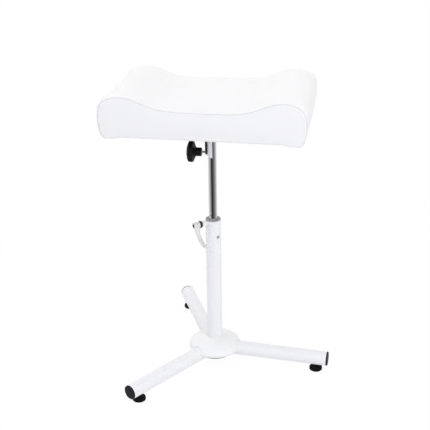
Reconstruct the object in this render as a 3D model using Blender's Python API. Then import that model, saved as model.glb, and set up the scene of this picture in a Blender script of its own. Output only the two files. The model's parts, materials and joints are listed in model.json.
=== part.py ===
"""Pedicure footrest: tripod base, telescopic post and a tilting padded leg cushion."""
import math

import bmesh
import bpy
from mathutils import Matrix, Vector

# Fits, placing and smoothness
FIT_GAP = 0.0003
CUT_REACH = 0.004
AXIS_X = -0.0253
AXIS_Y = -0.0086
BASE_TURN_DEG = -4.5
LEG_STEP_DEG = 120.0
LEG_NAMES = ("right", "back_left", "front_left")
ROUND_SEGMENTS = 32
SMALL_SEGMENTS = 16
SHARP_DEG = 32.0
TURN = 2.0 * math.pi

# Column
COLUMN_RADIUS = 0.016
COLUMN_BORE = 0.014
COLUMN_BOTTOM = 0.0240
COLUMN_TOP = 0.3305
COLUMN_EDGE = 0.0005

# Legs and their end caps: each leg ends beyond its foot, and its cap is measured from that end
FOOT_REACH = 0.2217
LEG_AXIS_Z = 0.0288
LEG_RADIUS = 0.0150
LEG_BORE = 0.0132
LEG_START = 0.0166
LEG_BEYOND_FOOT = 0.0222
LEG_END = FOOT_REACH + LEG_BEYOND_FOOT
CAP_PLUG_RADIUS = 0.0129
CAP_PLUG_NOSE = 0.0122
CAP_PLUG_DEPTH = 0.0127
CAP_PLUG_TAPER = 0.0012
CAP_RIM = 0.0021
CAP_SHOULDER_RADIUS = 0.0140
CAP_SHOULDER = 0.0031
CAP_CROWN_RADIUS = 0.0100
CAP_FACE = 0.0033

# Levelling feet
PAD_SOLE_RADIUS = 0.0124
PAD_RADIUS = 0.0136
PAD_SOLE_EDGE = 0.0010
PAD_SIDE = 0.0058
PAD_SHOULDER_RADIUS = 0.0122
PAD_SHOULDER = 0.0073
PAD_NECK_RADIUS = 0.0078
PAD_NECK = 0.0092
PAD_TOP = 0.0115
PAD_SOCKET_FLOOR = 0.0050
STUD_RADIUS = 0.0040
STUD_TOP = 0.0250
STUD_CHAMFER = 0.0008
INSERT_FLANGE_RADIUS = 0.0080
INSERT_FLANGE_TOP = 0.0133
INSERT_SLEEVE_RADIUS = 0.0055
INSERT_TOP = 0.0240

# Hub cover and bottom cap: radius and height of each outline point
HUB_WALL = 0.0022
HUB_OUTLINE = (
    (0.0163, 0.0550),
    (0.0173, 0.0537),
    (0.0195, 0.0528),
    (0.0230, 0.0523),
    (0.0310, 0.0506),
    (0.0390, 0.0480),
    (0.0460, 0.0445),
    (0.0515, 0.0401),
    (0.0546, 0.0352),
    (0.0555, 0.0312),
    (0.0541, 0.0273),
    (0.0500, 0.0246),
    (0.0440, 0.0237),
)
HUB_REACH = max(radius for radius, height in HUB_OUTLINE)
HUB_SLOT_START = 0.0200
HUB_SLOT_FLOOR = 0.0100
BASE_CAP_BOTTOM = 0.0198
BASE_CAP_TOP = 0.0234
BASE_CAP_RADIUS = 0.0430
BASE_CAP_EDGE = 0.0012

# Upper guide bush and its grub screw
BUSH_RADIUS = 0.0137
BUSH_BORE = 0.0091
BUSH_BOTTOM = 0.2850
BUSH_FLANGE_RADIUS = 0.0154
BUSH_FLANGE_TOP = 0.0014
BUSH_FLANGE_EDGE = 0.0006
GRUB_Z = 0.2955
GRUB_TURN_DEG = -44.0
GRUB_RADIUS = 0.0022
GRUB_TIP = 0.0105
GRUB_HEAD_RADIUS = 0.0028
GRUB_HEAD_REACH = 0.0174
GRUB_SLOT_RADIUS = 0.0014
GRUB_SLOT_DEPTH = 0.0008

# Post and the pieces in it
POST_RADIUS = 0.0088
POST_BORE = 0.0073
POST_BOTTOM = 0.1410
POST_TOP = 0.5300
TILT_BELOW_TOP = 0.0540
TILT_Z = POST_TOP - TILT_BELOW_TOP
POST_EDGE = 0.0005
SLIDER_BOTTOM = 0.1355
SLIDER_TOP = 0.1600
SLIDER_EDGE = 0.0007
SLIDER_VENT = 0.0030
TOP_CAP_PLUG = 0.0070
TOP_CAP_DEPTH = 0.0100
TOP_CAP_HEIGHT = 0.0030
TOP_CAP_CROWN = 0.0070
PLUG_RADIUS = 0.0070
PLUG_HALF_LENGTH = 0.0140
PLUG_BOTTOM = TILT_Z - PLUG_HALF_LENGTH
PLUG_TOP = TILT_Z + PLUG_HALF_LENGTH
PLUG_EDGE = 0.0008

# Saddle between the post and the bracket's ear: its height is measured from the tilt axis
SADDLE_INNER = 0.0091
SADDLE_OUTER = 0.0099
SADDLE_HALF_TURN_DEG = 102.0
SADDLE_STEPS = 20
SADDLE_BELOW_TILT = 0.0085
SADDLE_BOTTOM = TILT_Z - SADDLE_BELOW_TILT
SADDLE_ARCH = 0.0035
SADDLE_ABOVE_TILT = 0.0370
SADDLE_TOP = TILT_Z + SADDLE_ABOVE_TILT

# Tilt knob, its stud runs along the tilt axis
KNOB_STUD_RADIUS = 0.0025
KNOB_STUD_TIP = 0.0020
KNOB_STUD_END = 0.0320
KNOB_STUD_CHAMFER = 0.0006
KNOB_SEGMENTS = 48
KNOB_LOBES = 8
KNOB_LOBE_SHARE = 0.06
KNOB_LOBE_FROM = 0.0150
KNOB_OUTLINE = (
    (0.0080, 0.0211),
    (0.0087, 0.0218),
    (0.0088, 0.0318),
    (0.0098, 0.0330),
    (0.0150, 0.0354),
    (0.0204, 0.0376),
    (0.0216, 0.0390),
    (0.0219, 0.0420),
    (0.0216, 0.0452),
    (0.0202, 0.0470),
    (0.0160, 0.0489),
    (0.0090, 0.0503),
)
KNOB_FACE = 0.0508
KNOB_SOCKET = 0.0323

# Clamp on the column: distances are along its stud, from the column's axis
CLAMP_Z = 0.3256
CLAMP_TURN_DEG = 220.0
BOSS_RADIUS = 0.0059
BOSS_START = 0.0090
BOSS_END = 0.0272
BOSS_EDGE = 0.0007
CLAMP_PAD_RADIUS = 0.0029
CLAMP_PAD_START = 0.0093
CLAMP_PAD_END = 0.0120
CLAMP_STUD_RADIUS = 0.0030
CLAMP_STUD_TIP = 0.0123
CLAMP_STUD_CHAMFER = 0.0006
COLLAR_RADIUS = 0.0073
COLLAR_START = 0.0280
COLLAR_END = 0.0322
COLLAR_EDGE = 0.0006
CORE_RADIUS = 0.0044
CORE_END = 0.0376
CORE_TAP_RADIUS = 0.0019
CORE_TAP_START = 0.0300
LEVER_SCREW_RADIUS = 0.0016
LEVER_SCREW_START = 0.0305
LEVER_SCREW_HEAD_RADIUS = 0.0036
LEVER_SCREW_HEAD_START = 0.0438
LEVER_SCREW_END = 0.0458
LEVER_SCREW_DRIVE_RADIUS = 0.0014
LEVER_SCREW_DRIVE_DEPTH = 0.0011

# Lever: hub and arm
LEVER_HUB_RADIUS = 0.0066
LEVER_HUB_START = 0.0325
LEVER_HUB_END = 0.0462
LEVER_HUB_EDGE = 0.0008
LEVER_CORE_BORE = 0.0047
LEVER_CORE_DEPTH = 0.0384
LEVER_WEB_BORE = 0.0021
LEVER_WEB_END = 0.0398
LEVER_CHAMBER = 0.0040
LEVER_SWING_DEG = 44.0
LEVER_SECTION_POINTS = 12
LEVER_SECTION_POWER = 0.72
# Reach from the stud, bow to the side, middle along the stud, width along it, thickness
LEVER_SECTIONS = (
    (0.0053, -0.0006, 0.0398, 0.0116, 0.0062),
    (0.0110, -0.0026, 0.0402, 0.0106, 0.0062),
    (0.0180, -0.0046, 0.0403, 0.0094, 0.0058),
    (0.0270, -0.0052, 0.0402, 0.0086, 0.0055),
    (0.0370, -0.0036, 0.0400, 0.0084, 0.0056),
    (0.0440, -0.0010, 0.0396, 0.0086, 0.0060),
    (0.0485, 0.0012, 0.0392, 0.0082, 0.0058),
    (0.0508, 0.0024, 0.0390, 0.0062, 0.0044),
    (0.0516, 0.0028, 0.0389, 0.0030, 0.0022),
)

# Tilt bracket
PLATE_LENGTH = 0.0900
PLATE_WIDTH = 0.0700
PLATE_THICK = 0.0030
PLATE_ABOVE_POST = 0.0143
PLATE_TOP = POST_TOP + PLATE_ABOVE_POST
PLATE_CORNER = 0.0070
EAR_INNER = 0.0102
EAR_THICK = 0.0025
EAR_HALF_WIDTH = 0.0090
EAR_DROP = 0.0043
EAR_CORNER = 0.0085
GUSSET_REACH = 0.0340
GUSSET_DROP = 0.0300
GUSSET_THICK = 0.0030
PLATE_BITE = 0.0015
CORNER_STEPS = 6

# Bracket screws
SCREW_SPACING_X = 0.0660
SCREW_SPACING_Y = 0.0480
SCREW_RADIUS = 0.0025
SCREW_HEAD_RADIUS = 0.0045
SCREW_HEAD_HEIGHT = 0.0024
SCREW_HEAD_EDGE = 0.0010
SCREW_REACH = 0.0117
SCREW_TOP = PLATE_TOP + SCREW_REACH
SCREW_POINT = 0.0030
SCREW_POINT_RADIUS = 0.0006
SCREW_DRIVE_RADIUS = 0.0016
SCREW_DRIVE_DEPTH = 0.0012

# Cushion underside
COVER_THICK = 0.0010
BOARD_LENGTH = 0.3400
BOARD_WIDTH = 0.1950
BOARD_THICK = 0.0120
BOARD_CORNER = 0.0200

# Cushion: half profile from the middle of the dip round to the underside
COVER_SEAT_GAP = 0.0002
CUSHION_BOTTOM = PLATE_TOP + COVER_SEAT_GAP
CUSHION_PROFILE = (
    (0.0000, 0.0510),
    (0.0220, 0.0510),
    (0.0420, 0.0513),
    (0.0600, 0.0521),
    (0.0750, 0.0537),
    (0.0880, 0.0563),
    (0.1000, 0.0600),
    (0.1120, 0.0647),
    (0.1240, 0.0697),
    (0.1360, 0.0734),
    (0.1470, 0.0750),
    (0.1580, 0.0752),
    (0.1680, 0.0738),
    (0.1775, 0.0702),
    (0.1857, 0.0643),
    (0.1910, 0.0565),
    (0.1940, 0.0475),
    (0.1953, 0.0375),
    (0.1953, 0.0260),
    (0.1938, 0.0150),
    (0.1915, 0.0050),
    (0.1880, -0.0004),
    (0.1830, -0.0023),
    (0.1740, -0.0027),
    (0.1000, -0.0027),
    (0.0500, -0.0027),
)
CUSHION_RIM = min(height for reach, height in CUSHION_PROFILE)
# Each ring of the cushion: distance from the middle, and how far the profile is drawn in
CUSHION_RINGS = (
    (0.1180, 0.0034),
    (0.1173, 0.0012),
    (0.1150, 0.0002),
    (0.1080, 0.0000),
    (0.0900, -0.0007),
    (0.0550, -0.0014),
    (0.0000, -0.0018),
)

# Colour, roughness and metallic of each material
MATERIALS = {
    "white_paint": ((0.86, 0.86, 0.88), 0.32, 0.0),
    "white_vinyl": ((0.90, 0.91, 0.93), 0.45, 0.0),
    "black_plastic": ((0.03, 0.03, 0.033), 0.50, 0.0),
    "grey_plastic": ((0.24, 0.24, 0.25), 0.50, 0.0),
    "chrome": ((0.82, 0.83, 0.85), 0.08, 1.0),
    "zinc_steel": ((0.60, 0.61, 0.62), 0.30, 1.0),
    "black_steel": ((0.035, 0.035, 0.038), 0.40, 0.6),
    "silver_paint": ((0.72, 0.73, 0.75), 0.35, 0.4),
    "plywood": ((0.66, 0.50, 0.32), 0.70, 0.0),
    "black_fabric": ((0.035, 0.035, 0.04), 0.95, 0.0),
}


def clear_scene():
    for item in list(bpy.data.objects):
        bpy.data.objects.remove(item, do_unlink=True)


def make_materials():
    made = {}
    for name, (colour, roughness, metallic) in MATERIALS.items():
        material = bpy.data.materials.new(name)
        material.use_nodes = True
        shader = material.node_tree.nodes["Principled BSDF"]
        shader.inputs["Base Color"].default_value = (*colour, 1.0)
        shader.inputs["Roughness"].default_value = roughness
        shader.inputs["Metallic"].default_value = metallic
        material.diffuse_color = (*colour, 1.0)
        made[name] = material
    return made


def along(direction, point):
    """Matrix that lays a shape made along +Z on a direction, with its start at a point."""
    turn = Vector((0.0, 0.0, 1.0)).rotation_difference(Vector(direction))
    return Matrix.Translation(point) @ turn.to_matrix().to_4x4()


def spun(angle_deg):
    return Matrix.Rotation(math.radians(angle_deg), 4, "Z")


def heading(angle_deg):
    return spun(angle_deg) @ Vector((1.0, 0.0, 0.0))


def place(name, mesh_data, matrix, material, origin):
    """Make an object whose own origin is at the given point."""
    bmesh.ops.remove_doubles(mesh_data, verts=mesh_data.verts, dist=FIT_GAP * 0.01)
    bmesh.ops.transform(mesh_data, matrix=matrix, verts=mesh_data.verts)
    bmesh.ops.translate(mesh_data, vec=-Vector(origin), verts=mesh_data.verts)
    bmesh.ops.recalc_face_normals(mesh_data, faces=mesh_data.faces)
    mesh = bpy.data.meshes.new(name)
    mesh_data.to_mesh(mesh)
    mesh_data.free()
    mesh.shade_smooth()
    mesh.set_sharp_from_angle(angle=math.radians(SHARP_DEG))
    item = bpy.data.objects.new(name, mesh)
    bpy.context.collection.objects.link(item)
    item.location = origin
    if material is not None:
        mesh.materials.append(material)
    return item


def revolve(outline, segments=ROUND_SEGMENTS, lobes=0, lobe_share=0.0, lobe_from=0.0):
    """Solid of revolution about +Z from a closed outline of (radius, height) points."""
    solid = bmesh.new()
    rings = []
    for radius, height in outline:
        if radius == 0.0:
            rings.append([solid.verts.new((0.0, 0.0, height))])
            continue
        ring = []
        for step in range(segments):
            angle = TURN * step / segments
            reach = radius
            if lobes and radius >= lobe_from:
                reach = radius * (1.0 - lobe_share * (0.5 - 0.5 * math.cos(lobes * angle)))
            ring.append(solid.verts.new((reach * math.cos(angle), reach * math.sin(angle), height)))
        rings.append(ring)
    for first, second in zip(rings, rings[1:] + rings[:1]):
        if len(first) == 1 and len(second) == 1:
            continue
        for step in range(segments):
            after = (step + 1) % segments
            if len(first) == 1:
                corners = (first[0], second[step], second[after])
            elif len(second) == 1:
                corners = (first[step], second[0], first[after])
            else:
                corners = (first[step], second[step], second[after], first[after])
            solid.faces.new(corners)
    return solid


def extrude(outline, low, high):
    """Prism along +Z from a closed outline of (x, y) points."""
    solid = bmesh.new()
    lower = [solid.verts.new((x, y, low)) for x, y in outline]
    upper = [solid.verts.new((x, y, high)) for x, y in outline]
    solid.faces.new(lower)
    solid.faces.new(upper)
    count = len(outline)
    for step in range(count):
        after = (step + 1) % count
        solid.faces.new((lower[step], lower[after], upper[after], upper[step]))
    return solid


def rounded_box(length, width, corner):
    """Outline of a rectangle with round corners, centred on the origin."""
    outline = []
    corners = ((1, 1, 0.0), (-1, 1, 90.0), (-1, -1, 180.0), (1, -1, 270.0))
    for side_x, side_y, start_deg in corners:
        middle_x = side_x * (length / 2 - corner)
        middle_y = side_y * (width / 2 - corner)
        for step in range(CORNER_STEPS + 1):
            angle = math.radians(start_deg + 90.0 * step / CORNER_STEPS)
            outline.append((middle_x + corner * math.cos(angle), middle_y + corner * math.sin(angle)))
    return outline


def rod(radius, low, high, segments=SMALL_SEGMENTS):
    return revolve(((0.0, low), (radius, low), (radius, high), (0.0, high)), segments)


def cutter(name, mesh_data, matrix):
    item = place(name, mesh_data, matrix, None, (0.0, 0.0, 0.0))
    item.hide_render = True
    item.display_type = "WIRE"
    return item


def boolean(target, tool, operation):
    change = target.modifiers.new(operation.lower(), "BOOLEAN")
    change.operation = operation
    change.solver = "EXACT"
    change.object = tool


def cut(target, tool):
    boolean(target, tool, "DIFFERENCE")


def shell_outline(points, wall):
    """Close an open outline into a wall of one thickness, on its inner side."""
    inner = []
    for index, point in enumerate(points):
        before = Vector(points[max(index - 1, 0)])
        after = Vector(points[min(index + 1, len(points) - 1)])
        run = (after - before).normalized()
        inner.append((max(points[0][0], point[0] + wall * run.y), point[1] - wall * run.x))
    return list(points) + inner[::-1]


def build_column(paint, grey, zinc):
    up = Matrix.Identity(4)
    centre = (0.0, 0.0, 0.0)
    outline = (
        (COLUMN_BORE, COLUMN_BOTTOM),
        (COLUMN_RADIUS - COLUMN_EDGE, COLUMN_BOTTOM),
        (COLUMN_RADIUS, COLUMN_BOTTOM + COLUMN_EDGE),
        (COLUMN_RADIUS, COLUMN_TOP - COLUMN_EDGE),
        (COLUMN_RADIUS - COLUMN_EDGE, COLUMN_TOP),
        (COLUMN_BORE, COLUMN_TOP),
    )
    column = place("column_tube", revolve(outline), up, paint, centre)
    seat = COLUMN_TOP + FIT_GAP
    outline = (
        (BUSH_BORE, BUSH_BOTTOM),
        (BUSH_RADIUS, BUSH_BOTTOM),
        (BUSH_RADIUS, seat),
        (BUSH_FLANGE_RADIUS, seat),
        (BUSH_FLANGE_RADIUS, seat + BUSH_FLANGE_TOP - BUSH_FLANGE_EDGE),
        (BUSH_FLANGE_RADIUS - BUSH_FLANGE_EDGE, seat + BUSH_FLANGE_TOP),
        (BUSH_BORE, seat + BUSH_FLANGE_TOP),
    )
    bush = place("guide_bush", revolve(outline), up, grey, centre)
    clamp_lie = along(heading(CLAMP_TURN_DEG), (0.0, 0.0, CLAMP_Z))
    clamp_hole = rod(CLAMP_STUD_RADIUS + FIT_GAP, POST_RADIUS - FIT_GAP, COLUMN_RADIUS + CUT_REACH)
    clamp_tool = cutter("cut_clamp_hole", clamp_hole, clamp_lie)
    grub_lie = along(heading(GRUB_TURN_DEG), (0.0, 0.0, GRUB_Z))
    grub_hole = rod(GRUB_RADIUS + FIT_GAP, GRUB_TIP - FIT_GAP, COLUMN_RADIUS + CUT_REACH)
    grub_tool = cutter("cut_grub_hole", grub_hole, grub_lie)
    for item in (column, bush):
        cut(item, clamp_tool)
        cut(item, grub_tool)
    head_seat = COLUMN_RADIUS + FIT_GAP
    outline = (
        (0.0, GRUB_TIP),
        (GRUB_RADIUS, GRUB_TIP),
        (GRUB_RADIUS, head_seat),
        (GRUB_HEAD_RADIUS, head_seat),
        (GRUB_HEAD_RADIUS, GRUB_HEAD_REACH),
        (GRUB_SLOT_RADIUS, GRUB_HEAD_REACH),
        (GRUB_SLOT_RADIUS, GRUB_HEAD_REACH - GRUB_SLOT_DEPTH),
        (0.0, GRUB_HEAD_REACH - GRUB_SLOT_DEPTH),
    )
    place("bush_screw", revolve(outline, SMALL_SEGMENTS), grub_lie, zinc, centre)


def build_leg(name, angle_deg, paint, black, zinc):
    """One leg with its end cap, threaded insert and levelling foot."""
    lie = along(heading(angle_deg), (0.0, 0.0, LEG_AXIS_Z))
    centre = (0.0, 0.0, 0.0)
    outline = (
        (LEG_BORE, LEG_START),
        (LEG_RADIUS, LEG_START),
        (LEG_RADIUS, LEG_END),
        (LEG_BORE, LEG_END),
    )
    leg = place("leg_" + name, revolve(outline), lie, paint, centre)
    plug_start = LEG_END - CAP_PLUG_DEPTH
    outline = (
        (0.0, plug_start),
        (CAP_PLUG_NOSE, plug_start),
        (CAP_PLUG_RADIUS, plug_start + CAP_PLUG_TAPER),
        (CAP_PLUG_RADIUS, LEG_END + FIT_GAP),
        (LEG_RADIUS, LEG_END + FIT_GAP),
        (LEG_RADIUS, LEG_END + CAP_RIM),
        (CAP_SHOULDER_RADIUS, LEG_END + CAP_SHOULDER),
        (CAP_CROWN_RADIUS, LEG_END + CAP_FACE),
        (0.0, LEG_END + CAP_FACE),
    )
    place("leg_cap_" + name, revolve(outline), lie, black, centre)
    foot = heading(angle_deg) * FOOT_REACH
    stand = Matrix.Translation(foot)
    hole = rod(INSERT_SLEEVE_RADIUS + FIT_GAP, INSERT_FLANGE_TOP - CUT_REACH, LEG_AXIS_Z)
    cut(leg, cutter("cut_foot_" + name, hole, stand))
    bore = STUD_RADIUS + FIT_GAP
    outline = (
        (bore, PAD_TOP + FIT_GAP),
        (INSERT_FLANGE_RADIUS, PAD_TOP + FIT_GAP),
        (INSERT_FLANGE_RADIUS, INSERT_FLANGE_TOP),
        (INSERT_SLEEVE_RADIUS, INSERT_FLANGE_TOP),
        (INSERT_SLEEVE_RADIUS, INSERT_TOP),
        (bore, INSERT_TOP),
    )
    place("foot_insert_" + name, revolve(outline, SMALL_SEGMENTS), stand, black, foot)
    outline = (
        (0.0, 0.0),
        (PAD_SOLE_RADIUS, 0.0),
        (PAD_RADIUS, PAD_SOLE_EDGE),
        (PAD_RADIUS, PAD_SIDE),
        (PAD_SHOULDER_RADIUS, PAD_SHOULDER),
        (PAD_NECK_RADIUS, PAD_NECK),
        (PAD_NECK_RADIUS, PAD_TOP),
        (bore, PAD_TOP),
        (bore, PAD_SOCKET_FLOOR),
        (0.0, PAD_SOCKET_FLOOR),
    )
    place("foot_pad_" + name, revolve(outline, SMALL_SEGMENTS), stand, black, foot)
    outline = (
        (0.0, PAD_SOCKET_FLOOR + FIT_GAP),
        (STUD_RADIUS, PAD_SOCKET_FLOOR + FIT_GAP),
        (STUD_RADIUS, STUD_TOP - STUD_CHAMFER),
        (STUD_RADIUS - STUD_CHAMFER, STUD_TOP),
        (0.0, STUD_TOP),
    )
    place("foot_stud_" + name, revolve(outline, SMALL_SEGMENTS), stand, zinc, foot)


def leg_slot():
    """Arch over a leg, open downwards, for the hub cover."""
    half = LEG_RADIUS + FIT_GAP
    outline = [(half, HUB_SLOT_FLOOR - LEG_AXIS_Z)]
    for step in range(SMALL_SEGMENTS + 1):
        angle = math.pi * step / SMALL_SEGMENTS
        outline.append((half * math.cos(angle), half * math.sin(angle)))
    outline.append((-half, HUB_SLOT_FLOOR - LEG_AXIS_Z))
    return extrude(outline, HUB_SLOT_START, HUB_REACH + CUT_REACH)


def build_hub(paint, black):
    centre = (0.0, 0.0, 0.0)
    up = Matrix.Identity(4)
    cover = place("hub_cover", revolve(shell_outline(HUB_OUTLINE, HUB_WALL)), up, paint, centre)
    outline = (
        (0.0, BASE_CAP_BOTTOM),
        (BASE_CAP_RADIUS - BASE_CAP_EDGE, BASE_CAP_BOTTOM),
        (BASE_CAP_RADIUS, BASE_CAP_BOTTOM + BASE_CAP_EDGE),
        (BASE_CAP_RADIUS, BASE_CAP_TOP),
        (0.0, BASE_CAP_TOP),
    )
    cap = place("hub_bottom_cap", revolve(outline), up, black, centre)
    arch_lie = Matrix(((0, 0, 1, 0), (1, 0, 0, 0), (0, 1, 0, 0), (0, 0, 0, 1)))
    for number, name in enumerate(LEG_NAMES):
        angle_deg = BASE_TURN_DEG + LEG_STEP_DEG * number
        lift = Matrix.Translation((0.0, 0.0, LEG_AXIS_Z))
        cut(cover, cutter("cut_hub_" + name, leg_slot(), lift @ spun(angle_deg) @ arch_lie))
        groove = rod(LEG_RADIUS + FIT_GAP, LEG_START - FIT_GAP, HUB_REACH, ROUND_SEGMENTS)
        groove_lie = along(heading(angle_deg), (0.0, 0.0, LEG_AXIS_Z))
        cut(cap, cutter("cut_cap_" + name, groove, groove_lie))


def saddle_sleeve():
    """Part of a sleeve round the post's left side, its lower edge arched under the stud."""
    solid = bmesh.new()
    rings = []
    for step in range(SADDLE_STEPS + 1):
        share = 2.0 * step / SADDLE_STEPS - 1.0
        angle = math.pi + math.radians(SADDLE_HALF_TURN_DEG) * share
        low = SADDLE_BOTTOM + SADDLE_ARCH * math.cos(share * math.pi / 2) ** 2
        ring = []
        for radius, height in (
            (SADDLE_INNER, low),
            (SADDLE_OUTER, low),
            (SADDLE_OUTER, SADDLE_TOP),
            (SADDLE_INNER, SADDLE_TOP),
        ):
            ring.append(solid.verts.new((radius * math.cos(angle), radius * math.sin(angle), height)))
        rings.append(ring)
    for first, second in zip(rings, rings[1:]):
        for side in range(len(first)):
            after = (side + 1) % len(first)
            solid.faces.new((first[side], second[side], second[after], first[after]))
    solid.faces.new(rings[0])
    solid.faces.new(rings[-1])
    return solid


def build_post(chrome, grey, black, zinc):
    up = Matrix.Identity(4)
    tilt_point = (0.0, 0.0, TILT_Z)
    post_point = (0.0, 0.0, POST_BOTTOM)
    outline = (
        (POST_BORE, POST_BOTTOM),
        (POST_RADIUS - POST_EDGE, POST_BOTTOM),
        (POST_RADIUS, POST_BOTTOM + POST_EDGE),
        (POST_RADIUS, POST_TOP - POST_EDGE),
        (POST_RADIUS - POST_EDGE, POST_TOP),
        (POST_BORE, POST_TOP),
    )
    post = place("post_tube", revolve(outline), up, chrome, post_point)
    left = along((-1.0, 0.0, 0.0), tilt_point)
    bore = KNOB_STUD_RADIUS + FIT_GAP
    post_hole = rod(bore, POST_BORE / 2, POST_RADIUS + CUT_REACH)
    post_tool = cutter("cut_post_hole", post_hole, left)
    cut(post, post_tool)
    outline = (
        (SLIDER_VENT, SLIDER_BOTTOM),
        (BUSH_RADIUS - SLIDER_EDGE, SLIDER_BOTTOM),
        (BUSH_RADIUS, SLIDER_BOTTOM + SLIDER_EDGE),
        (BUSH_RADIUS, SLIDER_TOP - SLIDER_EDGE),
        (BUSH_RADIUS - SLIDER_EDGE, SLIDER_TOP),
        (BUSH_BORE, SLIDER_TOP),
        (BUSH_BORE, POST_BOTTOM - FIT_GAP),
        (SLIDER_VENT, POST_BOTTOM - FIT_GAP),
    )
    place("post_slider", revolve(outline), up, grey, post_point)
    outline = (
        (0.0, PLUG_BOTTOM),
        (PLUG_RADIUS - PLUG_EDGE, PLUG_BOTTOM),
        (PLUG_RADIUS, PLUG_BOTTOM + PLUG_EDGE),
        (PLUG_RADIUS, PLUG_TOP - PLUG_EDGE),
        (PLUG_RADIUS - PLUG_EDGE, PLUG_TOP),
        (0.0, PLUG_TOP),
    )
    plug = place("post_plug", revolve(outline), up, zinc, post_point)
    cut(plug, cutter("cut_plug_bore", rod(bore, -POST_RADIUS, POST_RADIUS), left))
    saddle = place("post_saddle", saddle_sleeve(), up, zinc, post_point)
    cut(saddle, post_tool)
    outline = (
        (0.0, POST_TOP - TOP_CAP_DEPTH),
        (TOP_CAP_PLUG, POST_TOP - TOP_CAP_DEPTH),
        (TOP_CAP_PLUG, POST_TOP + FIT_GAP),
        (POST_RADIUS, POST_TOP + FIT_GAP),
        (POST_RADIUS, POST_TOP + TOP_CAP_HEIGHT - COLUMN_EDGE),
        (TOP_CAP_CROWN, POST_TOP + TOP_CAP_HEIGHT),
        (0.0, POST_TOP + TOP_CAP_HEIGHT),
    )
    place("post_top_cap", revolve(outline), up, black, post_point)


def build_knob(black, zinc):
    """Knob and its stud, lying along -X from the tilt axis."""
    tilt_point = (0.0, 0.0, TILT_Z)
    left = along((-1.0, 0.0, 0.0), tilt_point)
    bore = KNOB_STUD_RADIUS + FIT_GAP
    outline = [(0.0, KNOB_SOCKET), (bore, KNOB_SOCKET), (bore, KNOB_OUTLINE[0][1])]
    outline += list(KNOB_OUTLINE)
    outline.append((0.0, KNOB_FACE))
    body = revolve(outline, KNOB_SEGMENTS, KNOB_LOBES, KNOB_LOBE_SHARE, KNOB_LOBE_FROM)
    place("knob", body, left, black, tilt_point)
    outline = (
        (0.0, KNOB_STUD_TIP),
        (KNOB_STUD_RADIUS - KNOB_STUD_CHAMFER, KNOB_STUD_TIP),
        (KNOB_STUD_RADIUS, KNOB_STUD_TIP + KNOB_STUD_CHAMFER),
        (KNOB_STUD_RADIUS, KNOB_STUD_END),
        (0.0, KNOB_STUD_END),
    )
    place("knob_stud", revolve(outline, SMALL_SEGMENTS), left, zinc, tilt_point)


def lever_arm(lie):
    """Arm lofted through its sections, hanging from the stud's axis."""
    solid = bmesh.new()
    rings = []
    for reach, bow, middle, width, thick in LEVER_SECTIONS:
        ring = []
        for step in range(LEVER_SECTION_POINTS):
            angle = TURN * step / LEVER_SECTION_POINTS
            across = math.copysign(abs(math.cos(angle)) ** LEVER_SECTION_POWER, math.cos(angle))
            deep = math.copysign(abs(math.sin(angle)) ** LEVER_SECTION_POWER, math.sin(angle))
            side = bow + deep * thick / 2
            ring.append(solid.verts.new((side, -reach, middle + across * width / 2)))
        rings.append(ring)
    for first, second in zip(rings, rings[1:]):
        for step in range(LEVER_SECTION_POINTS):
            after = (step + 1) % LEVER_SECTION_POINTS
            solid.faces.new((first[step], first[after], second[after], second[step]))
    solid.faces.new(rings[0])
    solid.faces.new(rings[-1])
    return cutter("add_lever_arm", solid, lie)


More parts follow.
